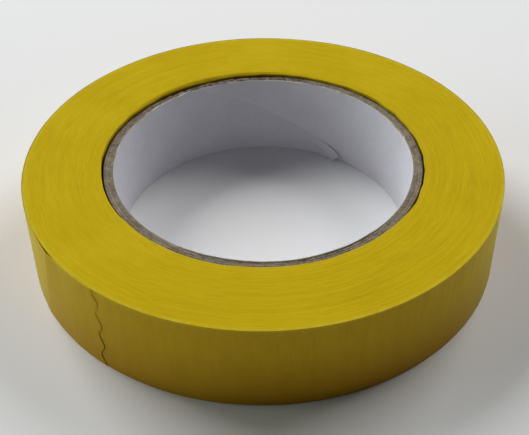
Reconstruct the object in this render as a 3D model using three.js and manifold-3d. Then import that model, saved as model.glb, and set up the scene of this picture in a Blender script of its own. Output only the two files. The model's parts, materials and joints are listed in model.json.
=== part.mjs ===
// Masking tape roll: one long strip of creped paper tape wound on a spiral paper tube.
//
// Millimetres. The origin is the centre of the bottom face and +Z runs up the roll's axis.
// Angles are in degrees about +Z, counter-clockwise from +X. The tape is wound counter-clockwise:
// its radius grows with the angle, up to the torn end.
//
// Every round piece shares one grid of angles, counted from the torn end, so the flat facets of
// neighbouring pieces stay parallel and the thin gaps between them are even all the way round.

import * as THREE from "three";
import { mergeVertices } from "three/addons/utils/BufferGeometryUtils.js";
import Module from "manifold-3d";

const wasm = await Module();
wasm.setup();

// Core: a standard 3 inch tube of six glued plies.
const BORE_RADIUS = 38.1;
const CORE_WIDTH = 23.3;
const SKIN_PLY = 0.2;
const BOARD_PLY = 0.56;
const BOARD_PLY_COUNT = 4;
const GLUE_LINE = 0.03;

// Each ply is a strip whose edges meet in one butt seam, a helix that climbs this far per turn.
const SEAM_LEAD = 121;
const SEAM_GAP = 0.3;
const SEAM_STEPS = 16;
const LINER_SEAM_ANGLE = 49.5;
const SEAM_STAGGER = 58;

// Tape: the outer radius falls from OUTER_RADIUS at the torn end by one pitch per turn inwards.
const TAPE_WIDTH = 24;
const OUTER_RADIUS = 60.82;
const TAPE_PITCH = 0.13;
const TAPE_THICKNESS = 0.11;

// Free end: the last few centimetres of tape, in short stiff lengths that hinge on each other.
const TORN_END_ANGLE = -127.3;
const FREE_LENGTHS = 5;
const FREE_LENGTH_SPAN = 7.5;
const FREE_LENGTH_GAP = 0.05;
const FREE_EDGE_INSET = 0.05;
const TORN_DEPTH = 1.7;
const TORN_ROWS = 26;

const FACETS = 96;
const FACET_ANGLE = 360 / FACETS;
const CUT_MARGIN = 1;

const CORE_OUTER_RADIUS = BORE_RADIUS + 2 * SKIN_PLY + BOARD_PLY_COUNT * BOARD_PLY;

function polar(radius, angle) {
  const radians = THREE.MathUtils.degToRad(angle);
  return new THREE.Vector2(radius * Math.cos(radians), radius * Math.sin(radians));
}

// Outer radius of the roll, as a function of the angle travelled past the torn end (0 to 360).
function rollRadius(travelled) {
  return OUTER_RADIUS - TAPE_PITCH * (1 - travelled / 360);
}

function degreesOfArc(length) {
  return THREE.MathUtils.radToDeg(length / OUTER_RADIUS);
}

// Points on the shared grid for one whole turn, starting at the torn end.
function turnPoints(radiusAt, facets) {
  const points = [];
  for (let i = 0; i < facets; i += 1) {
    const travelled = i * FACET_ANGLE;
    points.push(polar(radiusAt(travelled), TORN_END_ANGLE + travelled));
  }
  return points;
}

function extrudeRing(outerPoints, innerRadius, height) {
  const shape = new THREE.Shape(outerPoints);
  shape.holes.push(new THREE.Path(turnPoints(() => innerRadius, FACETS)));
  return new THREE.ExtrudeGeometry(shape, { depth: height, bevelEnabled: false });
}

function toSolid(geometry) {
  const bare = geometry.clone();
  bare.deleteAttribute("normal");
  bare.deleteAttribute("uv");
  const merged = mergeVertices(bare);
  const mesh = new wasm.Mesh({
    numProp: 3,
    vertProperties: new Float32Array(merged.attributes.position.array),
    triVerts: new Uint32Array(merged.index.array),
  });
  return new wasm.Manifold(mesh);
}

function toGeometry(solid) {
  const mesh = solid.getMesh();
  const geometry = new THREE.BufferGeometry();
  geometry.setAttribute("position", new THREE.BufferAttribute(mesh.vertProperties, 3));
  geometry.setIndex(new THREE.BufferAttribute(mesh.triVerts, 1));
  geometry.computeVertexNormals();
  return geometry;
}

// A thin twisted wall that follows the helical seam right through one ply.
function seamCutter(innerRadius, outerRadius, angleAtBottom) {
  const depth = outerRadius - innerRadius + 2 * CUT_MARGIN;
  const height = CORE_WIDTH + 2 * CUT_MARGIN;
  const wall = new THREE.BoxGeometry(depth, SEAM_GAP, height, 1, 1, SEAM_STEPS);
  wall.translate((innerRadius + outerRadius) / 2, 0, CORE_WIDTH / 2);
  const position = wall.attributes.position;
  const point = new THREE.Vector3();
  const up = new THREE.Vector3(0, 0, 1);
  for (let i = 0; i < position.count; i += 1) {
    point.fromBufferAttribute(position, i);
    const angle = angleAtBottom + (360 * point.z) / SEAM_LEAD;
    point.applyAxisAngle(up, THREE.MathUtils.degToRad(angle));
    position.setXYZ(i, point.x, point.y, point.z);
  }
  return wall;
}

function corePly(innerRadius, thickness, seamAngle) {
  const outerRadius = innerRadius + thickness - GLUE_LINE;
  const ring = extrudeRing(turnPoints(() => outerRadius, FACETS), innerRadius, CORE_WIDTH);
  const cutter = seamCutter(innerRadius, outerRadius, seamAngle);
  return toGeometry(toSolid(ring).subtract(toSolid(cutter)));
}

// All the turns under the outermost one. Its outline steps in by one pitch at the torn end.
function woundTape() {
  const radiusAt = (travelled) => rollRadius(travelled) - TAPE_PITCH;
  const outline = turnPoints(radiusAt, FACETS);
  outline.push(polar(radiusAt(360), TORN_END_ANGLE));
  return extrudeRing(outline, CORE_OUTER_RADIUS, TAPE_WIDTH);
}

// A length of tape bent round the roll: the box's X runs round it, its Y up, and its Z outwards.
function bentStrip({ from, to, rows, bottom, top, tornDepthAt }) {
  const columns = Math.ceil((to - from) / FACET_ANGLE - 0.5);
  const strip = new THREE.BoxGeometry(1, top - bottom, TAPE_THICKNESS, columns, rows, 1);
  strip.translate(0.5, (top + bottom) / 2, TAPE_THICKNESS / 2);
  const position = strip.attributes.position;
  const firstGridLine = Math.round(from / FACET_ANGLE);
  for (let i = 0; i < position.count; i += 1) {
    const column = Math.round(position.getX(i) * columns);
    const height = position.getY(i);
    let travelled = (firstGridLine + column) * FACET_ANGLE;
    if (column === 0) travelled = from;
    if (column === columns) travelled = to - degreesOfArc(tornDepthAt(height));
    const radius = rollRadius(travelled) - TAPE_THICKNESS + position.getZ(i);
    const flat = polar(radius, TORN_END_ANGLE + travelled);
    position.setXYZ(i, flat.x, flat.y, height);
  }
  strip.computeVertexNormals();
  return strip;
}

// The last turn of the roll, from the step under the torn end to the root of the free end.
function outerTurn() {
  const gap = degreesOfArc(FREE_LENGTH_GAP);
  return bentStrip({
    from: gap,
    to: 360 - FREE_LENGTHS * FREE_LENGTH_SPAN - gap / 2,
    rows: 1,
    bottom: 0,
    top: TAPE_WIDTH,
    tornDepthAt: () => 0,
  });
}

// How far the torn edge is cut back at a height: two waves, never past the straight edge.
function tornDepth(height) {
  const along = height / TAPE_WIDTH;
  const slow = Math.cos(2 * Math.PI * along);
  const quick = Math.cos(2 * Math.PI * (3.64 * along - 0.485));
  return TORN_DEPTH * (0.5 + 0.12 * slow + 0.38 * quick);
}

function freeLength(index) {
  const halfGap = degreesOfArc(FREE_LENGTH_GAP) / 2;
  const from = 360 - (FREE_LENGTHS - index) * FREE_LENGTH_SPAN;
  const isTorn = index === FREE_LENGTHS - 1;
  return bentStrip({
    from: from + halfGap,
    to: from + FREE_LENGTH_SPAN - (isTorn ? 0 : halfGap),
    rows: isTorn ? TORN_ROWS : 1,
    bottom: FREE_EDGE_INSET,
    top: TAPE_WIDTH - FREE_EDGE_INSET,
    tornDepthAt: isTorn ? tornDepth : () => 0,
  });
}

function tapeMaterial() {
  return new THREE.MeshStandardMaterial({ color: 0xb8a21a, roughness: 0.72, metalness: 0 });
}

function linerMaterial() {
  return new THREE.MeshStandardMaterial({ color: 0xd6d4d8, roughness: 0.85, metalness: 0 });
}

function boardMaterial() {
  return new THREE.MeshStandardMaterial({ color: 0x8c7a64, roughness: 0.92, metalness: 0 });
}

function kraftMaterial() {
  return new THREE.MeshStandardMaterial({ color: 0x9a7a50, roughness: 0.88, metalness: 0 });
}

function addPiece(parent, name, geometry, material) {
  const mesh = new THREE.Mesh(geometry, material);
  mesh.name = name;
  parent.add(mesh);
}

function buildCore() {
  const core = new THREE.Group();
  addPiece(core, "core_liner", corePly(BORE_RADIUS, SKIN_PLY, LINER_SEAM_ANGLE), linerMaterial());
  for (let i = 0; i < BOARD_PLY_COUNT; i += 1) {
    const innerRadius = BORE_RADIUS + SKIN_PLY + i * BOARD_PLY;
    const seamAngle = LINER_SEAM_ANGLE + (i + 1) * SEAM_STAGGER;
    const ply = corePly(innerRadius, BOARD_PLY, seamAngle);
    addPiece(core, `core_board_ply_${i + 1}`, ply, boardMaterial());
  }
  const outerSeamAngle = LINER_SEAM_ANGLE + (BOARD_PLY_COUNT + 1) * SEAM_STAGGER;
  const outerPly = corePly(CORE_OUTER_RADIUS - SKIN_PLY, SKIN_PLY, outerSeamAngle);
  addPiece(core, "core_outer_ply", outerPly, kraftMaterial());
  return core;
}

function buildTape() {
  const tape = new THREE.Group();
  addPiece(tape, "wound_tape", woundTape(), tapeMaterial());
  addPiece(tape, "outer_turn", outerTurn(), tapeMaterial());
  for (let i = 0; i < FREE_LENGTHS; i += 1) {
    addPiece(tape, `tape_end_${i + 1}`, freeLength(i), tapeMaterial());
  }
  return tape;
}

const roll = new THREE.Group();
roll.add(buildCore());
roll.add(buildTape());

export default roll;
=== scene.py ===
"""Looks of a masking tape roll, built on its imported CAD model.

Metres, with +Z up the roll's axis. Angles are degrees about it from +X, so -90 faces the camera."""

import json
import math

import bpy
import numpy as np
from mathutils import Matrix, Vector


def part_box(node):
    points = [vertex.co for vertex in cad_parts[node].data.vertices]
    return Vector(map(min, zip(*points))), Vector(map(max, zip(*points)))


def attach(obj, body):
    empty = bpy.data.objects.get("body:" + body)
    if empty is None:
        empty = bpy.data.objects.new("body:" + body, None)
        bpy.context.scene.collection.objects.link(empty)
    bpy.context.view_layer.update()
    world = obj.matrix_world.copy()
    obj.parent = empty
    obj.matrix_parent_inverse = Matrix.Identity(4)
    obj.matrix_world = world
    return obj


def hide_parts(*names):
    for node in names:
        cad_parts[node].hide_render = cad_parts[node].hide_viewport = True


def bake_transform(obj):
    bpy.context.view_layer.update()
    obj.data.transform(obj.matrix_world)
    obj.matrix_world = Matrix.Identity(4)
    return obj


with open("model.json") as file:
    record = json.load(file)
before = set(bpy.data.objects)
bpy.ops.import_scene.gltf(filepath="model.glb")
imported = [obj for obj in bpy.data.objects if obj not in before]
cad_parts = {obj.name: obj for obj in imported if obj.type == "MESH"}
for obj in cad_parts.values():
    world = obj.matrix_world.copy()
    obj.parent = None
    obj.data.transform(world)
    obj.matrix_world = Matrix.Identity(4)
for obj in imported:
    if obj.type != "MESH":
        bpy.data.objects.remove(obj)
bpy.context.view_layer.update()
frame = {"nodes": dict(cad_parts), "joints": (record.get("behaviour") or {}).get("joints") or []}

MM = 0.001

# Tape
TAPE_PITCH = 0.13 * MM           # growth of the radius per turn
TAPE_THICKNESS = 0.11 * MM
SURFACE_INSET = 0.04 * MM        # room for the crepe inside the tape's nominal radius
PACK_CLEARANCE = 0.025 * MM      # keeps the creped last turn off the turns below
JOIN_ANGLE = 0.02                # degrees between pieces of the one strip
CREPE_HEIGHT = 0.007 * MM        # wrinkles of the last turn
UNEVEN_HEIGHT = 0.010 * MM       # its unevenness round the roll
EDGE_WANDER = 0.02 * MM          # how far its two edges wander inside the tape's width

# Torn end
TORN_DEPTH = 1.7 * MM
TORN_MIDDLE = 0.5                # mean depth of the torn edge, as a share of TORN_DEPTH
TORN_WAVES = ((0.12, 1.0, 0.25), (0.38, 3.64, -0.235))    # share, waves up the width, phase
TORN_LIFT_ANGLE = 2.6            # degrees over which the torn edge stands off the turn below
TORN_LIFT = 0.015 * MM
TORN_BULGE = 0.07 * MM           # further lift a little below the middle of its height
FEATHER_ANGLE = 0.7              # degrees over which its paper thins out
FEATHER_DEPTH = 0.08 * MM
TORN_FIBRES = 150                # loose fibres along it
COLUMNS_PER_DEGREE = 6           # of the free end's meshes

# Loose pocket in the last turn: it leaves the roll in a straight line up to a leaning crease
POCKET_START = -156.5
POCKET_END = -141.0
CREASE_AT_BOTTOM = -150.4
CREASE_AT_TOP = -144.9
POCKET_HEIGHT = 0.42 * MM
POCKET_LOW_SHARE = 0.35          # its height at the tape's bottom edge, as a share of the full height

# Cut faces of the wound turns
FACE_DROP = 0.07 * MM            # mean depth of the turns' edges below the tape's full width
RAGGED_DROP = 0.12 * MM          # further depth of the innermost turns
RAGGED_WIDTH = 0.5 * MM          # distance from the core over which that fades
SHOULDER_WIDTH = 0.85 * MM       # slope pressed on the innermost turns where they are worn
SHOULDER_DROP = 0.62 * MM
SOILED_ANGLE = -50               # side on which the innermost turns are soiled
RIM_HIGHLIGHT_WIDTH = 1.4 * MM          # width of the turns near the rim that carry a painted highlight

# Inner edge of the tape at the top, where it stands off the core
CORE_CLEARANCE = 0.10 * MM       # at every height
INNER_WOBBLE = 0.09 * MM
INNER_CORNERS = (-27, -16, -8, 2, 13, 29, 40)    # angles between which it runs straight
INNER_CORNER_DEPTH = 0.32 * MM
INNER_CORNER_FADE = 10           # degrees over which that depth fades past the first and last corner
FLARE_MIDDLE = 172.0             # where the gap is widest
FLARE_SPREAD = 48.0
FLARE_DEPTH = 0.45 * MM

# Core
SEAM_LEAD = 121 * MM             # height over which a ply's helical seam makes one turn
SEAM_GAP = 0.3 * MM
SEAM_STAGGER = 58.0              # degrees from one ply's seam to the next
PLY_CLEARANCE = 0.03 * MM        # keeps neighbouring walls apart, as their facets sink between columns
WORN_MIDDLE = 112.0              # where the core's edge and the turns on it are most worn
WORN_SPREAD = 62.0               # degrees to each side
SPLIT_MIDDLE = -78.0             # where the board is most split from the liner
SPLIT_SPREAD = 48.0
BACK_SPLIT = (0.4, 98.0, 34.0)   # a weaker split: its share, middle and spread
BOARD_ROUGH = 0.18 * MM          # depth of the rough cut edge
BOARD_SPLIT = 1.4 * MM           # depth of the split in the first board ply
BOARD_WORN = (0.0, 0.1 * MM, 0.25 * MM, 0.6 * MM)    # depth of the wear in the four board plies
KRAFT_ROUGH = 0.40 * MM
KRAFT_WORN = 0.8 * MM
CORNER_DROP = 0.07 * MM          # rounding of a ply's two top corners
PIT_DEPTH = 1.6 * MM             # pits in the worn stretch
PIT_LEVEL = 0.45                 # noise above this level makes one
BOTTOM_SHARE = 0.6               # roughness of a ply's bottom edge, as a share of its top's
BOARD_FIBRES = 900               # raised fibres on the cut edge
CORE_COLUMNS = 1080              # round each ply's mesh

# Liner
LINER_SEAM_ANGLE = 49.5          # at the bottom
LINER_LAP = 6.0                  # degrees by which the liner's first edge lies over its last
LINER_PRESSED = 0.9              # how far the last edge is pressed thin under the first
LINER_STEP = 0.03 * MM           # height of the lap's edge
LINER_LOOSE_STEP = 0.22 * MM     # the same near the bottom, where it is loose
LINER_LOOSE_HEIGHTS = (3.0 * MM, 5.0 * MM)    # heights between which it gets tight
LINER_TEAR_ANGLE = 56.1          # where the liner's torn bottom corner meets the bottom edge
LINER_TEAR_SLOPE = 1300.0        # degrees per metre of height
LINER_TEAR_HEIGHT = 2.25 * MM    # where the tear meets the seam
LINER_LEAN = 3.0                 # degrees by which the loose corner leans over its seam
LINER_LEAN_HEIGHTS = (4.0 * MM, 5.6 * MM)    # heights between which the lean ends
LINER_CURL = 1.0 * MM            # how far the loose corner curls off the bore
LINER_CURL_ANGLES = (3, 11)      # degrees past the tear between which the curl ends
LINER_CURL_HEIGHTS = (0.5 * MM, 4.5 * MM)    # heights between which it weakens
LINER_CURL_HIGH_SHARE = 0.25     # what is left of it above them
LINER_WAVE = 0.012 * MM
LINER_DIP = 0.28 * MM            # dip of the liner's edge beside the split
LINER_DIP_SPREAD = 34.0
RIDGE_WIDTH = 0.9                # degrees, of two low ridges, SEAM_STAGGER to each side of the seam
RIDGE_HEIGHT = 0.02 * MM
LAP_FADE = 2                     # degrees past the lap over which the liner settles on the bore
LINER_RAGGED = 0.05 * MM         # mean depth of its ragged cut edges

# Torn slivers of the liner: angle, length and width. A length below zero runs clockwise
SLIVERS = (
    (142.0, -3.6 * MM, 0.60 * MM),
    (134.0, -3.4 * MM, 0.30 * MM),
    (128.0, -5.2 * MM, 0.62 * MM),
    (103.0, -2.0 * MM, 0.40 * MM),
    (99.5, 1.2 * MM, 0.45 * MM),
    (64.0, -2.2 * MM, 0.40 * MM),
    (57.0, -1.6 * MM, 0.35 * MM),
)
FLECK_STRETCHES = ((112, 146, 22), (48, 66, 16), (66, 112, 14), (-30, 20, 8))    # low, high, how many
SPIKE_ANGLE = 127                # of the sliver that hangs at the bore's bottom edge

# Strands: torn fibres, flecks and slivers
STRAND_RINGS = 5
STRAND_TAPER = 0.7               # power by which the width falls towards the tip
STRAND_FOOT = 0.3                # width at the foot, as a share of the full width

# Camera, solved for a roll of this size
CAMERA_DISTANCE = 0.2636         # from the middle of the roll
CAMERA_ELEVATION = 38.6
CAMERA_PITCH_BELOW_CENTRE = 1.3  # degrees by which it looks below the middle of the roll
CAMERA_YAW = -0.065
CAMERA_ROLL = -0.72
CAMERA_LENS = 68.2               # millimetres
CAMERA_SENSOR = 36               # millimetres

# Studio
LIGHT_DISTANCE = 2.5
LIGHT_SIZE = 1.5
FLOOR_HALF_SIZE = 1.5
FLOOR_HEIGHT = -0.02 * MM        # close under the roll, so that no light passes beneath its tape
FLOOR_WHITE = (0.9, 0.9, 0.9, 1)
SKY_COLOUR = (0.95, 0.97, 1.0, 1)
SKY_LIGHT = 0.02                 # strength of the surround as a light
SKY_SEEN = 0.9                   # its strength where the camera sees it
LIGHTS = (                       # name, azimuth, elevation, watts and colour
    ("light_back_left", 225, 38, 48.0, (1, 1, 1)),
    ("light_back_right", 135, 38, 32.0, (1, 1, 1)),
    ("light_left", 270, 14, 20.0, (0.88, 1.0, 0.99)),
    ("light_right", 90, 12, 5.0, (0.9, 1.0, 1.0)),
)

# Colours. Tones run from dark to pale
TAPE_TONES = ((0.500, 0.330, 0.003), (0.600, 0.425, 0.0045), (0.660, 0.500, 0.012))
TAPE_SOILED = (0.27, 0.21, 0.07)
# painted highlight on the turns near the rim
TAPE_RIM_HIGHLIGHT = (0.68, 0.58, 0.05)
FACE_TONES = ((0.48, 0.285, 0.001), (0.545, 0.340, 0.002), (0.60, 0.395, 0.006))
# painted highlight at the top of the face
FACE_HIGHLIGHT_AT_TOP = (0.66, 0.46, 0.004)
# painted shade towards the bottom of the face
FACE_SHADE_AT_BOTTOM = (0.39, 0.175, 0.001)
# dust and painted shadow along the torn edge
DUST_AND_SHADOW = (0.16, 0.09, 0.01)
FUZZ_TINT = (0.75, 1.0, 0.30, 1)
ADHESIVE_TONES = ((0.52, 0.37, 0.03), (0.64, 0.50, 0.09))
# adhesive stain and painted shade of the gap beside the core
STAINED_AND_SHADED_TONES = ((0.17, 0.080, 0.004), (0.32, 0.17, 0.008))
CLEAN_TONES = ((0.62, 0.44, 0.006), (0.76, 0.58, 0.012))
TORN_TONES = ((0.50, 0.34, 0.010), (0.72, 0.54, 0.035))
LINER_TONES = ((0.615, 0.600, 0.642), (0.705, 0.690, 0.737))
# painted highlight at the liner's lap seam
LINER_SEAM_HIGHLIGHT = (0.86, 0.85, 0.86)
LINER_EDGE_TONES = ((0.20, 0.165, 0.12), (0.38, 0.33, 0.26))
LINER_EDGE_CLEAN = (0.62, 0.59, 0.55)
LINER_FIBRE_TONES = ((0.66, 0.63, 0.56), (0.88, 0.86, 0.80))
BOARD_TONES = ((0.10, 0.075, 0.048), (0.46, 0.39, 0.29))
BOARD_DARK_TONES = ((0.08, 0.058, 0.036), (0.40, 0.335, 0.245))
# brown kraft, darkened by painted shade of the gap beside the tape
KRAFT_AND_SHADE_TONES = ((0.11, 0.065, 0.025), (0.26, 0.17, 0.08))


# ---------------------------------------------------------------- frame values


def ring_radii(node):
    """Inner and outer radius of a CAD node, in metres."""
    spans = [math.hypot(v.co.x, v.co.y) for v in frame["nodes"][node].data.vertices]
    return min(spans), max(spans)


def hinge_angles():
    """Angle about the roll's axis of each hinge of the free end, from its root to its tip."""
    found = []
    for joint in frame["joints"]:
        x, y, _ = joint["pos_m"]
        found.append(math.degrees(math.atan2(y, x)))
    return [angle - 360 if angle > 0 else angle for angle in found]


HINGES = hinge_angles()
FREE_SPAN = HINGES[1] - HINGES[0]
FREE_ROOT = HINGES[0]
TORN_ANGLE = HINGES[-1] + FREE_SPAN

TAPE_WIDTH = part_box("wound_tape")[1].z
CORE_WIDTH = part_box("core_liner")[1].z
PACK_INNER, PACK_OUTER = ring_radii("wound_tape")
ROLL_OUTER = PACK_OUTER + TAPE_PITCH
BORE_RADIUS = ring_radii("core_liner")[0]


# ---------------------------------------------------------------- smooth noise


def smooth_noise(x, seed, spacing=1.0, count=512):
    """Values from -1 to 1 that wander smoothly along x, with one random value per spacing."""
    table = np.random.RandomState(seed).uniform(-1, 1, count)
    at = np.asarray(x, float) / spacing
    low = np.floor(at).astype(int)
    part = at - low
    blend = part * part * (3 - 2 * part)
    return table[low % count] * (1 - blend) + table[(low + 1) % count] * blend


def ring_noise(angle, seed, waves, share=0.7):
    """Noise round the roll: the given numbers of waves per turn, each weaker than the last."""
    phases = np.random.RandomState(seed).uniform(0, 2 * math.pi, len(waves))
    total, weight = 0.0, 1.0
    for count, phase in zip(waves, phases):
        total = total + weight * np.sin(np.radians(angle) * count + phase)
        weight *= share
    return total


def ease(x, low, high):
    """0 below low, 1 above high, and a smooth step between."""
    t = np.clip((np.asarray(x, float) - low) / (high - low), 0, 1)
    return t * t * (3 - 2 * t)


def bump(x, centre, width):
    """A smooth hill of height 1 at centre, gone at width on each side."""
    return 1 - ease(np.abs(np.asarray(x, float) - centre), 0, width)


def from_angle(angle, middle):
    """Degrees from the middle angle, from -180 to 180."""
    return np.mod(np.asarray(angle, float) - middle + 180, 360) - 180


def polar(angle, radius, height=0.0):
    """The point at an angle, a distance from the roll's axis and a height."""
    radians = math.radians(angle)
    return Vector((radius * math.cos(radians), radius * math.sin(radians), height))


# ---------------------------------------------------------------- meshes

INNER, TOP, OUTER, BOTTOM, ENDS = range(5)


def make_mesh(name, points, faces, face_materials, materials, sharp=35):
    """A piece in the scene, whose "rest" attribute keeps its points for the materials."""
    mesh = bpy.data.meshes.new(name)
    mesh.from_pydata([tuple(p) for p in points], [], faces)
    for material in materials:
        mesh.materials.append(material)
    mesh.polygons.foreach_set("material_index", face_materials)
    mesh.polygons.foreach_set("use_smooth", [True] * len(mesh.polygons))
    mesh.set_sharp_from_angle(angle=math.radians(sharp))
    rest = mesh.attributes.new("rest", "FLOAT_VECTOR", "POINT")
    rest.data.foreach_set("vector", np.asarray(points, np.float32).ravel())
    mesh.update()
    piece = bpy.data.objects.new(name, mesh)
    bpy.context.scene.collection.objects.link(piece)
    return piece


def profile_places(rows, across):
    """Places round a band's section: side 0 is its inner wall and 1 its outer, lift 0 to 1 is up.
    Also the kind of the face after each place."""
    up = [k / rows for k in range(rows + 1)]
    over = [m / across for m in range(1, across)]
    side = [0.0] * len(up) + over + [1.0] * len(up) + over[::-1]
    lift = up + [1.0] * len(over) + up[::-1] + [0.0] * len(over)
    kinds = [INNER] * rows + [TOP] * across + [OUTER] * rows + [BOTTOM] * across
    return np.array(side), np.array(lift), kinds


def cap_faces(start, rows, across, facing_forward):
    """Faces that close the section whose first point is start."""
    total = 2 * (rows + across)
    faces = []
    for k in range(1, rows - 1):
        outer = start + 2 * rows + across - k
        faces.append([start + k, start + k + 1, outer - 1, outer])
    top = [start + rows - 1 + m for m in range(across + 3)]
    bottom = [start + (2 * rows + across - 1 + m) % total for m in range(across + 3)]
    faces += [top, bottom]
    return faces if facing_forward else [face[::-1] for face in faces]


def band(name, shape, columns, rows, across, materials, closed=False):
    """A band round the roll, of so many columns round it, rows up it and faces across its wall.
    shape(along, side, lift) gives angle in degrees, radius and height. materials are for its inner
    wall, top, outer wall, bottom and ends. A closed band's last column meets its first."""
    side, lift, kinds = profile_places(rows, across)
    sections = columns if closed else columns + 1
    along = np.arange(sections)[:, None] / columns
    side, lift = side[None, :], lift[None, :]
    angle, radius, height = np.broadcast_arrays(*shape(along, side, lift))
    radians = np.radians(angle)
    x, y = radius * np.cos(radians), radius * np.sin(radians)
    points = np.stack([x, y, height], axis=-1).reshape(-1, 3)
    total = len(kinds)
    faces, face_kinds = [], []
    for i in range(columns):
        here, there = i * total, ((i + 1) % sections) * total
        for j in range(total):
            after = (j + 1) % total
            faces.append([here + j, here + after, there + after, there + j])
            face_kinds.append(kinds[j])
    if not closed:
        for start, forward in ((0, False), (columns * total, True)):
            caps = cap_faces(start, rows, across, forward)
            faces += caps
            face_kinds += [ENDS] * len(caps)
    return make_mesh(name, points, faces, face_kinds, materials)


def strands(name, feet, material, body):
    """Thin tapering strands of paper as one piece. A foot is the strand's first point, its
    direction and length as one vector, the bend of its tip as another, and its width."""
    points, faces = [], []
    for place, reach, bend, width in feet:
        first = len(points)
        across = reach.cross(Vector((0, 0, 1)))
        across = across.normalized() if across.length > 1e-9 else Vector((1, 0, 0))
        other = reach.cross(across).normalized()
        for k in range(STRAND_RINGS):
            t = k / STRAND_RINGS
            middle = place + reach * t + bend * t * t
            half = 0.5 * width * (1 - t) ** STRAND_TAPER * (1 if k else STRAND_FOOT)
            for corner in range(3):
                turn = 2 * math.pi * corner / 3
                points.append(middle + across * half * math.cos(turn) + other * half * math.sin(turn))
        points.append(place + reach + bend)
        apex = len(points) - 1
        faces.append([first, first + 1, first + 2])
        for k in range(STRAND_RINGS - 1):
            low, high = first + 3 * k, first + 3 * k + 3
            for corner in range(3):
                after = (corner + 1) % 3
                faces.append([low + corner, high + corner, high + after, low + after])
        last = first + 3 * (STRAND_RINGS - 1)
        for corner in range(3):
            faces.append([last + corner, apex, last + (corner + 1) % 3])
    piece = make_mesh(name, points, faces, [0] * len(faces), [material], sharp=60)
    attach(piece, body)
    return piece


# ---------------------------------------------------------------- materials


class Nodes:
    """A material's node tree, one call per node. A value is a number, a tuple or a socket."""

    def __init__(self, name):
        self.material = bpy.data.materials.new(name)
        self.material.use_nodes = True
        self.tree = self.material.node_tree
        self.shader = self.tree.nodes["Principled BSDF"]

    def feed(self, socket, value):
        if isinstance(value, bpy.types.NodeSocket):
            self.tree.links.new(value, socket)
        else:
            socket.default_value = value

    def add(self, kind, settings=None, **inputs):
        node = self.tree.nodes.new(kind)
        for key, value in (settings or {}).items():
            setattr(node, key, value)
        for key, value in inputs.items():
            self.feed(node.inputs[key.replace("_", " ")], value)
        return node

    def math(self, operation, *values):
        node = self.add("ShaderNodeMath", {"operation": operation})
        for socket, value in zip(node.inputs, values):
            self.feed(socket, value)
        return node.outputs[0]

    def weighted(self, *terms):
        """Sum of sockets, each given with its weight."""
        result = None
        for value, weight in terms:
            term = self.math("MULTIPLY", value, weight)
            result = term if result is None else self.math("ADD", result, term)
        return result

    def rest(self):
        return self.add("ShaderNodeAttribute", {"attribute_name": "rest"}).outputs["Vector"]

    def place(self, x=1.0, y=1.0, z=1.0):
        """The rest position in millimetres, stretched by x, y and z."""
        node = self.add("ShaderNodeVectorMath", {"operation": "MULTIPLY"})
        self.feed(node.inputs[0], self.rest())
        self.feed(node.inputs[1], (x / MM, y / MM, z / MM))
        return node.outputs[0]

    def split(self, vector):
        return self.add("ShaderNodeSeparateXYZ", Vector=vector).outputs[:3]

    def ring_place(self):
        """Angle in turns and radius in millimetres of the rest position, then its x, y and z."""
        x, y, z = self.split(self.place())
        squares = self.math("ADD", self.math("MULTIPLY", x, x), self.math("MULTIPLY", y, y))
        turned = self.math("DIVIDE", self.math("ARCTAN2", y, x), 2 * math.pi)
        return turned, self.math("SQRT", squares), x, y, z

    def stretched_ring(self, cosine, sine, radius, round_scale, radial_scale):
        """A place for noise that is long round the roll and short across the turns."""
        x = self.math("MULTIPLY", cosine, round_scale)
        y = self.math("MULTIPLY", sine, round_scale)
        node = self.add("ShaderNodeCombineXYZ", X=x, Y=y, Z=self.math("MULTIPLY", radius, radial_scale))
        return node.outputs[0]

    def noise(self, where, scale=1.0, detail=2.0, roughness=0.5):
        node = self.add("ShaderNodeTexNoise", Scale=scale, Detail=detail, Roughness=roughness)
        self.feed(node.inputs["Vector"], where)
        return node.outputs["Fac"]

    def noise_along(self, at, scale=1.0, detail=0.0):
        settings = {"noise_dimensions": "1D"}
        return self.add("ShaderNodeTexNoise", settings, W=at, Scale=scale, Detail=detail).outputs["Fac"]

    def ramp(self, value, *colours):
        """Evenly spaced colours for a value from 0 to 1."""
        node = self.add("ShaderNodeValToRGB", Fac=value)
        elements = node.color_ramp.elements
        while len(elements) < len(colours):
            elements.new(0.5)
        for index, colour in enumerate(colours):
            elements[index].position = index / (len(colours) - 1)
            elements[index].color = (*colour, 1)
        return node.outputs["Color"]

    def span(self, value, low, high, out_low=0.0, out_high=1.0):
        node = self.add("ShaderNodeMapRange", {"clamp": True})
        ends = {"Value": value, "From Min": low, "From Max": high, "To Min": out_low, "To Max": out_high}
        for key, number in ends.items():
            self.feed(node.inputs[key], number)
        return node.outputs[0]

    def mix(self, share, first, second):
        node = self.add("ShaderNodeMix", {"data_type": "RGBA"})
        for index, value in ((0, share), (6, first), (7, second)):
            self.feed(node.inputs[index], (*value, 1) if isinstance(value, tuple) else value)
        return node.outputs[2]

    def relief(self, height_mm, strength=1.0):
        """Bump from a height in millimetres."""
        node = self.add("ShaderNodeBump", Height=height_mm, Distance=MM, Strength=strength)
        self.feed(self.shader.inputs["Normal"], node.outputs[0])

    def sheen(self, weight, roughness, tint):
        """Pale fuzz at grazing angles."""
        self.shader.inputs["Sheen Weight"].default_value = weight
        self.shader.inputs["Sheen Roughness"].default_value = roughness
        self.shader.inputs["Sheen Tint"].default_value = tint

    def finish(self, colour, roughness, specular):
        self.feed(self.shader.inputs["Base Color"], colour)
        self.feed(self.shader.inputs["Roughness"], roughness)
        self.shader.inputs["Specular IOR Level"].default_value = specular
        return self.material


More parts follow.
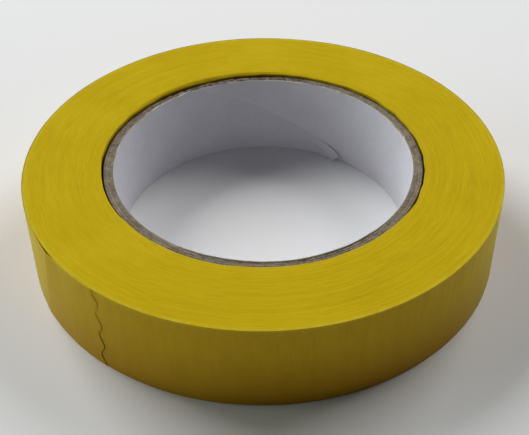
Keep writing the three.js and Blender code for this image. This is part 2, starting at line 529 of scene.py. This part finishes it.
def tape_edge_material():
    """The cut edges of the turns: grooves between turns with painted shade in them and streaks along
    them, soiled beside the core on one side, and a painted highlight near the rim."""
    m = Nodes("tape_cut_edges")
    turned, radius, x, y, _ = m.ring_place()
    # turns are counted from just past the torn end
    travelled = m.math("FRACT", m.math("SUBTRACT", turned, TORN_ANGLE / 360 + 1e-4))
    turns = m.math("SUBTRACT", m.math("DIVIDE", radius, TAPE_PITCH / MM), travelled)
    along = m.math("ADD", m.math("FLOOR", turns), travelled)
    middle = m.math("ABSOLUTE", m.math("SUBTRACT", m.math("FRACT", turns), 0.5))
    groove_and_shade = m.span(middle, 0.3, 0.5)
    proud = m.noise_along(along, 1.3, 1.0)
    cosine, sine = m.math("DIVIDE", x, radius), m.math("DIVIDE", y, radius)
    long_streak = m.noise(m.stretched_ring(cosine, sine, radius, 2.2, 1.4), 1.0, 3.0, 0.6)
    short_streak = m.noise(m.stretched_ring(cosine, sine, radius, 11.0, 2.3), 1.0, 2.0, 0.6)
    patch = m.noise(m.place(), 0.06, 3.0)
    fuzz = m.noise(m.place(), 5.0, 2.0)
    heights = ((groove_and_shade, -0.012), (proud, 0.012), (long_streak, 0.03), (short_streak, 0.05), (fuzz, 0.012))
    m.relief(m.weighted(*heights), 0.8)
    # the grooves between turns also darken the colour: painted shade
    shades = ((proud, 0.15), (long_streak, 0.35), (short_streak, 0.45), (patch, 0.40), (groove_and_shade, -0.10))
    shade = m.weighted(*shades)
    colour = m.ramp(m.span(shade, 0.35, 0.92), *TAPE_TONES)
    side = polar(SOILED_ANGLE, 1)
    handled = m.span(m.weighted((cosine, side.x), (sine, side.y)), 0.1, 0.7)
    innermost = PACK_INNER / MM
    near_core = m.span(radius, innermost + 0.2, innermost + 1.3, 0.22, 0.0)
    soiled = m.math("MULTIPLY", m.math("MULTIPLY", near_core, handled), m.span(fuzz, 0.3, 0.7, 0.6, 1.0))
    colour = m.mix(soiled, colour, TAPE_SOILED)
    # painted highlight: the turns near the rim are paler in patches
    rim_highlight_from = (ROLL_OUTER - RIM_HIGHLIGHT_WIDTH) / MM
    rim_highlight_patches = m.span(m.noise(m.place(), 0.45, 3.0, 0.6), 0.34, 0.68, 0.05, 0.65)
    rim_highlight = m.math("MULTIPLY", m.span(radius, rim_highlight_from, rim_highlight_from + 1.1), rim_highlight_patches)
    colour = m.mix(rim_highlight, colour, TAPE_RIM_HIGHLIGHT)
    return m.finish(colour, m.span(fuzz, 0, 1, 0.76, 0.90), 0.06)


def torn_edge_distance(m, turned, z):
    """Millimetres round the roll past the torn edge, whose waves are those of torn_depth."""
    lift = m.math("DIVIDE", z, TAPE_WIDTH / MM)
    round_mm = 2 * math.pi * ROLL_OUTER / MM
    straight = m.math("MULTIPLY", m.math("SUBTRACT", turned, TORN_ANGLE / 360), round_mm)
    total = m.math("ADD", straight, TORN_DEPTH / MM * TORN_MIDDLE)
    for share, waves, phase in TORN_WAVES:
        angle = m.math("MULTIPLY_ADD", lift, 2 * math.pi * waves, 2 * math.pi * phase)
        total = m.math("ADD", total, m.math("MULTIPLY", m.math("SINE", angle), TORN_DEPTH / MM * share))
    return total


def tape_face_material():
    """The creped outer face: low wrinkles across the width, a painted highlight at the top and painted
    shade towards the bottom, with dust and painted shadow along the torn edge."""
    m = Nodes("tape_creped_face")
    turned, _, _, _, z = m.ring_place()
    crepe = m.noise(m.place(1.9, 1.9, 0.28), 1.0, 3.0, 0.62)
    fine = m.noise(m.place(5.0, 5.0, 1.1), 1.0, 2.0, 0.6)
    mottle = m.noise(m.place(0.35, 0.35, 0.09), 1.0, 2.0)
    cloud = m.noise(m.place(0.05, 0.05, 0.05), 1.0, 2.0)
    fibre = m.noise(m.place(7.0, 7.0, 7.0), 1.0, 2.0)
    m.relief(m.weighted((crepe, 0.020), (fine, 0.010), (mottle, 0.012), (fibre, 0.004)), 0.6)
    shade = m.weighted((crepe, 0.35), (mottle, 0.25), (cloud, 0.20), (fine, 0.15))
    colour = m.ramp(m.span(shade, 0.28, 0.66), *FACE_TONES)
    edge = TAPE_WIDTH / MM
    # painted highlight: the top millimetre of the face is paler
    colour = m.mix(m.span(z, edge - 1.0, edge, 0.0, 0.55), colour, FACE_HIGHLIGHT_AT_TOP)
    # painted shade: the face is darker and browner towards the bottom
    low = m.math("MULTIPLY", m.span(z, 0.0, 17.0, 1.0, 0.0), m.span(cloud, 0.3, 0.7, 0.5, 0.85))
    colour = m.mix(low, colour, FACE_SHADE_AT_BOTTOM)
    # dust along the torn edge, with painted shadow of the edge's step
    past = m.math("ADD", torn_edge_distance(m, turned, z), m.math("MULTIPLY", fine, 0.3))
    beyond = m.span(past, 0.0, 0.1)
    fading = m.span(past, 0.2, 0.6, 1.0, 0.0)
    dust_and_shadow = m.math("MULTIPLY", m.math("MULTIPLY", beyond, fading), m.span(z, 6.0, 17.0, 0.35, 0.05))
    colour = m.mix(dust_and_shadow, colour, DUST_AND_SHADOW)
    m.sheen(0.22, 0.35, FUZZ_TINT)
    return m.finish(colour, m.span(crepe, 0, 1, 0.60, 0.78), 0.18)


def adhesive_material():
    """The sticky inner face: the same paper under a slightly glossy, uneven film of adhesive."""
    m = Nodes("tape_adhesive_face")
    crepe = m.noise(m.place(2.0, 2.0, 0.3), 1.0, 3.0, 0.6)
    film = m.noise(m.place(0.5, 0.5, 0.5), 1.0, 3.0)
    m.relief(m.weighted((crepe, 0.03), (film, 0.03)), 0.6)
    colour = m.mix(film, *ADHESIVE_TONES)
    return m.finish(colour, m.span(film, 0.2, 0.8, 0.28, 0.5), 0.5)


def first_turn_material():
    """The innermost wall of the tape, yellow at its free edge and brown where it meets the core: adhesive
    stain and painted shade of the gap there.
    """
    m = Nodes("tape_first_turn")
    z = m.ring_place()[4]
    stain = m.noise(m.place(0.5, 0.5, 1.2), 1.0, 3.0, 0.6)
    grain = m.noise(m.place(4.0, 4.0, 4.0), 1.0, 2.0)
    m.relief(m.weighted((stain, 0.05), (grain, 0.03)))
    clean = m.math("ADD", z, m.math("MULTIPLY", stain, 0.3))
    clean = m.span(clean, CORE_WIDTH / MM - 0.3, CORE_WIDTH / MM + 0.2)
    # low on the wall the colour is brown: adhesive stain and painted shade of the gap beside the core
    brown_stain_and_shade = m.ramp(m.span(stain, 0.3, 0.7), *STAINED_AND_SHADED_TONES)
    yellow = m.ramp(m.span(stain, 0.3, 0.7), *CLEAN_TONES)
    return m.finish(m.mix(clean, brown_stain_and_shade, yellow), m.span(grain, 0, 1, 0.8, 0.95), 0.1)


def torn_paper_material():
    """The torn edge: rough, broken paper fibres."""
    m = Nodes("tape_torn_edge")
    fibre = m.noise(m.place(6.0, 6.0, 3.0), 1.0, 3.0, 0.7)
    m.relief(m.weighted((fibre, 0.08), (m.noise(m.place(1.5, 1.5, 1.5)), 0.05)))
    colour = m.ramp(m.span(fibre, 0.3, 0.7), *TORN_TONES)
    return m.finish(colour, m.span(fibre, 0, 1, 0.85, 0.95), 0.1)


def liner_material():
    """White paper with faint fibres and clouds, with painted highlight along the lap seam and beside it."""
    m = Nodes("liner_white_paper")
    turned, _, _, _, z = m.ring_place()
    fibre = m.noise(m.place(3.0, 3.0, 3.0), 1.0, 4.0, 0.65)
    cloud = m.noise(m.place(0.12, 0.12, 0.12), 1.0, 2.0)
    streak = m.noise(m.place(0.5, 0.5, 0.5), 1.0, 2.0)
    m.relief(m.weighted((fibre, 0.015), (cloud, 0.05), (streak, 0.015)), 0.6)
    shade = m.weighted((cloud, 0.5), (streak, 0.3), (fibre, 0.2))
    colour = m.ramp(m.span(shade, 0.3, 0.7), *LINER_TONES)
    seam = m.math("ADD", m.math("DIVIDE", z, SEAM_LEAD / MM), LINER_SEAM_ANGLE / 360)
    past = m.math("MULTIPLY", m.math("SUBTRACT", turned, seam), 2 * math.pi * BORE_RADIUS / MM)
    past = m.math("ADD", past, m.math("MULTIPLY", streak, 0.3))
    # painted highlight: a thin pale line just past the seam and a paler band before it
    seam_highlight = m.math("MULTIPLY", m.span(past, -0.05, 0.15), m.span(past, 0.2, 0.9, 1.0, 0.0))
    lit_band = m.math("MULTIPLY", m.span(past, -14.0, -1.0), m.span(past, 0.0, 0.3, 1.0, 0.0))
    colour = m.mix(m.weighted((seam_highlight, 0.35), (lit_band, 0.16)), colour, LINER_SEAM_HIGHLIGHT)
    return m.finish(colour, m.span(fibre, 0, 1, 0.55, 0.72), 0.35)


def liner_edge_material():
    """The liner's cut edge: soiled like the board beside it, with clean pale stretches."""
    m = Nodes("liner_cut_edge")
    stretch = m.noise(m.place(0.11, 0.11, 0.11), 1.0, 1.0)
    grain = m.noise(m.place(2.5, 2.5, 2.5), 1.0, 3.0, 0.65)
    m.relief(m.weighted((grain, 0.05), (stretch, 0.03)))
    right = m.math("DIVIDE", m.ring_place()[2], BORE_RADIUS / MM)
    clean = m.span(m.weighted((stretch, 1.0), (grain, 0.35), (right, 0.10)), 0.64, 0.78)
    soiled = m.ramp(m.span(grain, 0.3, 0.7), *LINER_EDGE_TONES)
    return m.finish(m.mix(clean, soiled, LINER_EDGE_CLEAN), m.span(grain, 0, 1, 0.85, 0.95), 0.15)


def liner_fibre_material():
    """Torn liner paper: paler and rougher than its face."""
    m = Nodes("liner_torn_fibre")
    fibre = m.noise(m.place(4.0, 4.0, 4.0), 1.0, 3.0, 0.65)
    m.relief(m.weighted((fibre, 0.04), (m.noise(m.place(1.0, 1.0, 1.0)), 0.03)))
    colour = m.ramp(m.span(fibre, 0.3, 0.7), *LINER_FIBRE_TONES)
    return m.finish(colour, m.span(fibre, 0, 1, 0.85, 0.95), 0.15)


def board_material(name, dark, pale):
    """Cut recycled board: mottled, fibrous and rough."""
    m = Nodes(name)
    speck = m.noise(m.place(1.0, 1.0, 1.0), 1.0, 4.0, 0.7)
    fibre = m.noise(m.place(6.0, 6.0, 6.0), 1.0, 3.0, 0.7)
    cloud = m.noise(m.place(0.3, 0.3, 0.3), 1.0, 2.0)
    m.relief(m.weighted((speck, 0.12), (fibre, 0.05)))
    shade = m.weighted((speck, 0.5), (fibre, 0.3), (cloud, 0.3))
    colour = m.ramp(m.span(shade, 0.38, 0.72), dark, pale)
    return m.finish(colour, m.span(fibre, 0, 1, 0.85, 0.97), 0.15)


EDGE = tape_edge_material()
FACE = tape_face_material()
ADHESIVE = adhesive_material()
FIRST_TURN = first_turn_material()
TORN = torn_paper_material()
LINER = liner_material()
LINER_EDGE = liner_edge_material()
LINER_FIBRE = liner_fibre_material()
BOARD = board_material("core_board", *BOARD_TONES)
BOARD_DARK = board_material("core_board_dark", *BOARD_DARK_TONES)
# the kraft ply's colour is darkened by painted shade of the gap beside the tape
KRAFT = board_material("core_kraft_paper_shaded", *KRAFT_AND_SHADE_TONES)


# ---------------------------------------------------------------- tape


def travelled(angle):
    """Degrees past the torn end, from 0 to 360."""
    return np.mod(np.asarray(angle, float) - TORN_ANGLE + 1e-6, 360)


def pack_height(angle, radius):
    """Height of the turns' cut edges against the tape's full width: zero, or less than zero."""
    turn = (radius - PACK_INNER) / TAPE_PITCH - travelled(angle) / 360
    whole = np.floor(turn) + travelled(angle) / 360
    batches = (smooth_noise(whole, 11, 7.0) * 0.016 + smooth_noise(whole, 12, 2.3) * 0.014) * MM
    drift = ring_noise(angle, 13, (2, 3, 5)) * 0.012 * MM
    near_core = np.exp(-(radius - PACK_INNER) / RAGGED_WIDTH)
    ragged = near_core * (RAGGED_DROP + 0.10 * MM * smooth_noise(angle, 14, 7.0))
    worn = bump(from_angle(angle, WORN_MIDDLE), 0, WORN_SPREAD) * (0.85 + 0.15 * smooth_noise(angle, 15, 2.6))
    slope = np.clip(1 - (radius - PACK_INNER) / SHOULDER_WIDTH, 0, 1)
    return np.minimum(batches + drift - FACE_DROP, 0) - ragged - SHOULDER_DROP * worn * slope


def inner_flats(angle):
    """How far the tape's inner edge stands off the core where it runs straight between corners."""
    around = from_angle(angle, 0)
    corners = np.array(INNER_CORNERS)
    first, last = corners[0], corners[-1]
    after = np.clip(np.searchsorted(corners, around), 1, len(corners) - 1)
    low, high = corners[after - 1], corners[after]
    chord = np.cos(np.radians((high - low) / 2)) / np.cos(np.radians(around - (low + high) / 2))
    off = INNER_CORNER_DEPTH - np.minimum((1 - chord) * PACK_INNER, INNER_CORNER_DEPTH)
    off = np.where((around > first) & (around < last), off, INNER_CORNER_DEPTH)
    rising = ease(around, first - INNER_CORNER_FADE, first)
    falling = 1 - ease(around, last, last + INNER_CORNER_FADE)
    return off * rising * falling


def wound_tape():
    """All the turns but the last, as one closed band. The step where the next turn begins is in
    its closing column, which spans only JOIN_ANGLE."""
    columns = 480

    def shape(along, side, lift):
        turned = along * columns / (columns - 1) * (360 - JOIN_ANGLE)
        angle = TORN_ANGLE + turned
        outer = PACK_OUTER - TAPE_PITCH * (1 - turned / 360) - SURFACE_INSET - PACK_CLEARANCE
        side = side**1.15
        flare = ease(lift, 0.75, 1.0) * FLARE_DEPTH * bump(from_angle(angle, FLARE_MIDDLE), 0, FLARE_SPREAD)
        wobble = np.maximum(ring_noise(angle, 21, (9, 14, 23, 41)), -1) * INNER_WOBBLE
        inner = PACK_INNER + CORE_CLEARANCE + flare + (wobble + inner_flats(angle)) * (lift > 0.5)
        radius = inner + (outer - inner) * side
        top = TAPE_WIDTH + pack_height(angle, radius)
        bottom = -pack_height(angle + 180, radius)
        return angle, radius, bottom * (1 - lift) + top * lift

    materials = [FIRST_TURN, EDGE, FACE, EDGE, EDGE]
    piece = band("wound_tape_pack", shape, columns, rows=6, across=95, closed=True, materials=materials)
    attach(piece, "roll")
    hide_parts("wound_tape")


def last_turn(turned, side, lift):
    """Radius and height of the outermost turn, by degrees past the torn end."""
    angle = TORN_ANGLE + turned
    outer = ROLL_OUTER - TAPE_PITCH * (1 - turned / 360) - SURFACE_INSET
    wander = 0.4 * smooth_noise(lift * 8, 34) + 0.3 * smooth_noise(lift * 23, 35)
    crepe = ring_noise(angle + wander, 31, (97, 151, 233), 0.8) * CREPE_HEIGHT
    slow = ring_noise(angle, 32, (7, 11, 17)) * UNEVEN_HEIGHT
    wave = EDGE_WANDER * np.maximum(1 + ring_noise(angle, 33, (5, 8, 13)), 0)
    height = TAPE_WIDTH * lift + wave * np.where(lift > 0.5, -1, 1)
    return outer - TAPE_THICKNESS * (1 - side) + crepe + slow, height


def outer_turn():
    """The last turn, from beside the torn end round to the free end's root."""
    start, end = JOIN_ANGLE, FREE_ROOT + 360 - TORN_ANGLE

    def shape(along, side, lift):
        turned = start + (end - start) * along
        radius, height = last_turn(turned, side, lift)
        return TORN_ANGLE + turned, radius, height

    materials = [ADHESIVE, EDGE, FACE, EDGE, EDGE]
    piece = band("outer_turn_of_tape", shape, columns=1440, rows=24, across=1, materials=materials)
    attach(piece, "roll")
    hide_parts("outer_turn")


def pocket(angle, lift):
    """Height of the loose pocket: straight up to the crease, then a short fall back."""
    crease = CREASE_AT_BOTTOM + (CREASE_AT_TOP - CREASE_AT_BOTTOM) * lift
    rise = np.clip((angle - POCKET_START) / (crease - POCKET_START), 0, 1)
    fall = np.clip((POCKET_END - angle) / (POCKET_END - crease), 0, 1)
    profile = np.where(angle < crease, rise**2, fall**1.5)
    return POCKET_HEIGHT * profile * (POCKET_LOW_SHARE + (1 - POCKET_LOW_SHARE) * ease(lift, 0.0, 0.9))


def torn_lift(angle, lift):
    """How far the torn edge stands off the turn below."""
    share = ease(angle, TORN_ANGLE - TORN_LIFT_ANGLE, TORN_ANGLE)
    uneven = 1 + smooth_noise(lift * 10, 43, 1.7)
    return share * (TORN_LIFT * uneven + TORN_BULGE * bump(lift, 0.45, 0.3))


def torn_depth(lift):
    """How far the torn edge is cut back: two waves, with small teeth on them."""
    depth = TORN_MIDDLE + 0.10 * smooth_noise(lift * 100, 41, 1.3) + 0.06 * smooth_noise(lift * 100, 42, 0.6)
    for share, waves, phase in TORN_WAVES:
        depth = depth + share * np.sin(2 * math.pi * (waves * lift + phase))
    return TORN_DEPTH * depth


def free_length(index, low, high):
    """One length of the free end, from angle low to high, each across its own hinge."""
    is_tip = index == len(HINGES) - 1

    def shape(along, side, lift):
        end = high - np.degrees(torn_depth(lift) / ROLL_OUTER) if is_tip else high
        angle = low + (end - low) * along
        radius, height = last_turn(angle - TORN_ANGLE + 360, side, lift)
        thinning = ease(angle, end - FEATHER_ANGLE, end) if is_tip else 0
        feather = FEATHER_DEPTH * ease(lift, 0.25, 0.65) * side * thinning
        return angle, radius + pocket(angle, lift) + torn_lift(angle, lift) - feather, height

    columns = round((high - low) * COLUMNS_PER_DEGREE)
    rows = 144 if is_tip else 48    # the tip's torn edge needs more of them
    materials = [ADHESIVE, EDGE, FACE, EDGE, TORN]
    return band(f"free_end_{index + 1}", shape, columns, rows, across=1, materials=materials)


def free_end():
    """The lengths of the free end, each across its own hinge."""
    middles = [hinge + FREE_SPAN / 2 for hinge in HINGES]
    cuts = [FREE_ROOT] + middles[:-1] + [TORN_ANGLE]
    for index in range(len(HINGES)):
        piece = free_length(index, cuts[index], cuts[index + 1])
        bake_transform(piece)
        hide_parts(f"tape_end_{index + 1}")


def torn_fibres():
    """Paper fibres that stick out of the torn edge."""
    draw = np.random.RandomState(71)
    feet = []
    for _ in range(TORN_FIBRES):
        lift = draw.uniform(0.01, 0.99)
        angle = TORN_ANGLE - math.degrees(torn_depth(lift) / ROLL_OUTER)
        radius = ROLL_OUTER - SURFACE_INSET - TAPE_THICKNESS * draw.uniform(0.2, 0.8)
        place = polar(angle, radius + float(torn_lift(angle, lift)), TAPE_WIDTH * lift)
        round_it = polar(angle + 90, 1)
        outwards = polar(angle, 1)
        reach = round_it * draw.uniform(0.10, 0.40) + outwards * draw.uniform(-0.05, 0.10)
        reach = (reach + Vector((0, 0, draw.uniform(-0.15, 0.15)))) * MM
        bend = Vector((0, 0, draw.uniform(-0.12, 0.12))) * MM
        feet.append((place - round_it * 0.02 * MM, reach, bend, draw.uniform(0.012, 0.03) * MM))
    strands("torn_end_fibres", feet, TORN, f"free_length_{len(HINGES)}")


# ---------------------------------------------------------------- core


def seam_angle_at(seam_angle, lift):
    """Angle of a ply's helical seam at a height, from its angle at the bottom."""
    return seam_angle + 360 * lift * CORE_WIDTH / SEAM_LEAD


def cut_height(lift, top_drop, bottom_drop):
    """Heights up a ply's wall, whose rough cut edges stand in by the two drops."""
    height = np.where(lift > 0.99, CORE_WIDTH - top_drop, lift * CORE_WIDTH)
    return np.where(lift < 0.01, bottom_drop, height)


def place_ply(piece, node):
    """A ply replaces its own node and rides on the roll."""
    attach(piece, "roll")
    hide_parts(node)


def liner():
    """The paper lining: its first edge laps over its last, and is loose and torn at the bottom."""
    inner, outer = ring_radii("core_liner")

    def shape(along, side, lift):
        seam = seam_angle_at(LINER_SEAM_ANGLE, lift)
        rise = lift * CORE_WIDTH
        lean = LINER_LEAN * (1 - ease(rise, *LINER_LEAN_HEIGHTS))
        start = np.maximum(seam - lean, LINER_TEAR_ANGLE - LINER_TEAR_SLOPE * rise)
        angle = start + (seam + 360 + LINER_LAP - start) * along
        over_lap = (1 - ease(angle - seam, LINER_LAP, LINER_LAP + LAP_FADE)) * (along < 0.5)
        loose = 1 - ease(rise, *LINER_LOOSE_HEIGHTS)
        over = (LINER_STEP + (LINER_LOOSE_STEP - LINER_STEP) * loose) * over_lap
        curl = LINER_CURL * (1 - ease(angle - LINER_TEAR_ANGLE, *LINER_CURL_ANGLES)) * (along < 0.5)
        curl = curl * (1 - (1 - LINER_CURL_HIGH_SHARE) * ease(rise, *LINER_CURL_HEIGHTS))
        ridge = bump(angle, seam + SEAM_STAGGER, RIDGE_WIDTH)
        ridge = ridge + bump(angle - 360, seam - SEAM_STAGGER, RIDGE_WIDTH)
        slow = ring_noise(angle, 54, (5, 9, 16)) * LINER_WAVE * (1 - side)
        under = ease(angle - seam - 360, -0.3, 0.2) * (along > 0.5)
        thin = (1 - side) * (1 - LINER_PRESSED * under)
        radius = outer - (outer - inner) * thin - over - curl + slow - RIDGE_HEIGHT * ridge
        fuzz = 0.6 * smooth_noise(angle * 8, 51, 3.1) + 0.4 * smooth_noise(angle * 8, 52, 0.9)
        ragged = LINER_RAGGED * (1 + fuzz)
        dip = LINER_DIP * bump(angle - 360, SPLIT_MIDDLE, LINER_DIP_SPREAD)
        dip = dip * (0.6 + 0.4 * smooth_noise(angle, 53, 4.0))
        return angle, radius, cut_height(lift, ragged + dip, ragged * BOTTOM_SHARE)

    materials = [LINER, LINER_EDGE, LINER, LINER_EDGE, LINER_FIBRE]
    piece = band("core_liner_paper", shape, CORE_COLUMNS, rows=44, across=2, materials=materials)
    place_ply(piece, "core_liner")


def ply(name, node, seam_angle, material, rough, split_depth, worn_depth, seed):
    """One glued strip of the core. Its cut top is rough and rounded at its corners, worn down by
    up to worn_depth at the back, and split from the liner by split_depth, mostly at the front."""
    inner, outer = ring_radii(node)
    inner += PLY_CLEARANCE
    gap = math.degrees(SEAM_GAP / outer)
    back_share, back_middle, back_spread = BACK_SPLIT

    def shape(along, side, lift):
        angle = seam_angle_at(seam_angle, lift) + gap / 2 + (360 - gap) * along
        fuzz = smooth_noise(angle * 8 + side * 310, seed, 3.1)
        fuzz = fuzz + smooth_noise(angle * 8 + side * 97, seed + 1, 0.9)
        slow = ring_noise(angle, seed + 2, (3, 7, 12))
        drop = rough * (0.5 + 0.25 * fuzz + 0.2 * slow) + CORNER_DROP * np.abs(2 * side - 1) ** 3
        split = bump(from_angle(angle, SPLIT_MIDDLE), 0, SPLIT_SPREAD)
        split = split + back_share * bump(from_angle(angle, back_middle), 0, back_spread)
        split = split * (0.7 + 0.3 * smooth_noise(angle, seed + 3, 3.0)) * np.clip(1.15 - 1.5 * side, 0, 1)
        worn = bump(from_angle(angle, WORN_MIDDLE), 0, WORN_SPREAD)
        pits = np.clip(smooth_noise(angle + side * 170, seed + 5, 1.1) - PIT_LEVEL, 0, 1) * worn
        worn = worn * (0.8 + 0.35 * smooth_noise(angle, seed + 4, 2.3))
        drop = np.clip(drop + split_depth * split + worn_depth * worn + PIT_DEPTH * pits, 0, None)
        return angle, inner + (outer - inner) * side, cut_height(lift, drop, drop * BOTTOM_SHARE)

    piece = band(name, shape, CORE_COLUMNS, rows=16, across=6, materials=[material] * 5)
    place_ply(piece, node)


def core():
    """The liner, the board plies from the bore outwards, and the kraft ply round them."""
    liner()
    for index, worn_depth in enumerate(BOARD_WORN):
        seam = LINER_SEAM_ANGLE + (index + 1) * SEAM_STAGGER
        board = BOARD_DARK if index % 2 else BOARD
        split_depth = 0.0 if index else BOARD_SPLIT
        name, node, seed = f"core_board_{index + 1}", f"core_board_ply_{index + 1}", 61 + 7 * index
        ply(name, node, seam, board, BOARD_ROUGH, split_depth, worn_depth, seed)
    seam = LINER_SEAM_ANGLE + (len(BOARD_WORN) + 1) * SEAM_STAGGER
    ply("core_kraft_ply", "core_outer_ply", seam, KRAFT, KRAFT_ROUGH, 0.0, KRAFT_WORN, 97)


def scattered_flecks():
    """Feet of the small pale flecks that lie on the core's cut edge."""
    draw = np.random.RandomState(81)
    feet = []
    for low, high, count in FLECK_STRETCHES:
        for _ in range(count):
            angle = draw.uniform(low, high)
            place = polar(angle, BORE_RADIUS + 0.35 * MM * draw.uniform(0, 1), CORE_WIDTH - 0.04 * MM)
            along = polar(angle + 90, 1) * draw.choice((-1, 1)) * draw.uniform(0.4, 1.5)
            reach = (along + Vector((0, 0, draw.uniform(-0.05, 0.10)))) * MM
            bend = polar(angle, -draw.uniform(0.0, 0.2) * MM)
            feet.append((place, reach, bend, draw.uniform(0.10, 0.28) * MM))
    return feet


def sliver(angle, length, width):
    """Foot of a torn sliver that follows the liner's top edge."""
    place = polar(angle, BORE_RADIUS + 0.12 * MM, CORE_WIDTH - 0.05 * MM)
    bend = polar(angle, 0.35 * length**2 / BORE_RADIUS)
    return place, polar(angle + 90, length, 0.1 * MM), bend, width


def torn_corner():
    """Foot of the pale strand along the liner's torn bottom corner, which has curled off the bore."""
    low = polar(LINER_TEAR_ANGLE, BORE_RADIUS - 1.2 * MM, 0.1 * MM)
    angle = LINER_TEAR_ANGLE - LINER_TEAR_SLOPE * LINER_TEAR_HEIGHT
    high = polar(angle, BORE_RADIUS - 0.95 * MM, LINER_TEAR_HEIGHT)
    return low, high - low, Vector((0, 0, 0)), 0.35 * MM


def spike():
    """Foot of the sliver that points into the bore from its bottom edge."""
    place = polar(SPIKE_ANGLE, BORE_RADIUS + 0.1 * MM, 0.9 * MM)
    reach = polar(SPIKE_ANGLE, -1.6 * MM, -0.2 * MM)
    return place, reach, Vector((0, 0, -0.3 * MM)), 0.5 * MM


def liner_flecks():
    """All the torn bits of liner, as one piece."""
    feet = scattered_flecks() + [sliver(*row) for row in SLIVERS] + [torn_corner(), spike()]
    strands("liner_torn_flecks", feet, LINER_FIBRE, "roll")


def board_fibres():
    """Short brown fibres raised on the cut edge of the board."""
    draw = np.random.RandomState(91)
    feet = []
    inner, outer = ring_radii("core_board_ply_1")[0], ring_radii("core_board_ply_4")[1]
    for _ in range(BOARD_FIBRES):
        angle = draw.uniform(0, 360)
        place = polar(angle, draw.uniform(inner, outer), CORE_WIDTH - 0.2 * MM)
        lean = polar(draw.uniform(0, 360), 1) * draw.uniform(0.1, 0.5)
        reach = (lean + Vector((0, 0, draw.uniform(0.12, 0.3)))) * MM
        bend = polar(draw.uniform(0, 360), draw.uniform(0, 0.15)) * MM
        feet.append((place, reach, bend, draw.uniform(0.015, 0.045) * MM))
    strands("board_edge_fibres", feet, BOARD, "roll")


# ---------------------------------------------------------------- stage


def floor():
    """A plain pale floor."""
    mesh = bpy.data.meshes.new("floor")
    half = FLOOR_HALF_SIZE
    corners = [(-half, -half, 0), (half, -half, 0), (half, half, 0), (-half, half, 0)]
    mesh.from_pydata(corners, [], [[0, 1, 2, 3]])
    m = Nodes("floor_pale")
    m.finish(FLOOR_WHITE, 0.9, 0.2)
    mesh.materials.append(m.material)
    piece = bpy.data.objects.new("floor", mesh)
    piece.location.z = FLOOR_HEIGHT
    bpy.context.scene.collection.objects.link(piece)


def soft_light(name, azimuth, elevation, power, colour):
    """A square area light aimed at the roll. Azimuth 0 is on the camera's side, 90 on its right."""
    round_it, up = math.radians(azimuth), math.radians(elevation)
    aim = Vector((math.cos(up) * math.sin(round_it), -math.cos(up) * math.cos(round_it), math.sin(up)))
    data = bpy.data.lights.new(name, "AREA")
    data.size = LIGHT_SIZE
    data.energy = power
    data.color = colour
    light = bpy.data.objects.new(name, data)
    light.location = aim * LIGHT_DISTANCE
    light.rotation_euler = aim.to_track_quat("Z", "Y").to_euler()
    bpy.context.scene.collection.objects.link(light)


def sky():
    """A pale surround behind the floor, which adds almost no light of its own."""
    world = bpy.data.worlds.new("studio")
    world.use_nodes = True
    tree = world.node_tree
    background = tree.nodes["Background"]
    background.inputs["Color"].default_value = SKY_COLOUR
    seen = tree.nodes.new("ShaderNodeLightPath").outputs["Is Camera Ray"]
    strength = tree.nodes.new("ShaderNodeMapRange")
    strength.inputs["To Min"].default_value = SKY_LIGHT
    strength.inputs["To Max"].default_value = SKY_SEEN
    tree.links.new(seen, strength.inputs["Value"])
    tree.links.new(strength.outputs[0], background.inputs["Strength"])
    bpy.context.scene.world = world
    bpy.context.scene.view_settings.view_transform = "Standard"


def camera():
    """The camera at the photograph's viewing angle."""
    data = bpy.data.cameras.new("camera")
    data.lens = CAMERA_LENS
    data.sensor_width = CAMERA_SENSOR
    data.clip_start = 0.01
    up = math.radians(CAMERA_ELEVATION)
    eye = bpy.data.objects.new("camera", data)
    place = Vector((0, -CAMERA_DISTANCE * math.cos(up), CAMERA_DISTANCE * math.sin(up) + TAPE_WIDTH / 2))
    tilt = math.radians(90 - CAMERA_ELEVATION - CAMERA_PITCH_BELOW_CENTRE)
    turn = Matrix.Rotation(math.radians(CAMERA_YAW), 4, "Z") @ Matrix.Rotation(tilt, 4, "X")
    turn = turn @ Matrix.Rotation(math.radians(CAMERA_ROLL), 4, "Z")
    eye.matrix_world = Matrix.Translation(place) @ turn
    bpy.context.scene.collection.objects.link(eye)
    bpy.context.scene.camera = eye


camera()
floor()
for row in LIGHTS:
    soft_light(*row)
sky()
wound_tape()
outer_turn()
free_end()
torn_fibres()
core()
liner_flecks()
board_fibres()
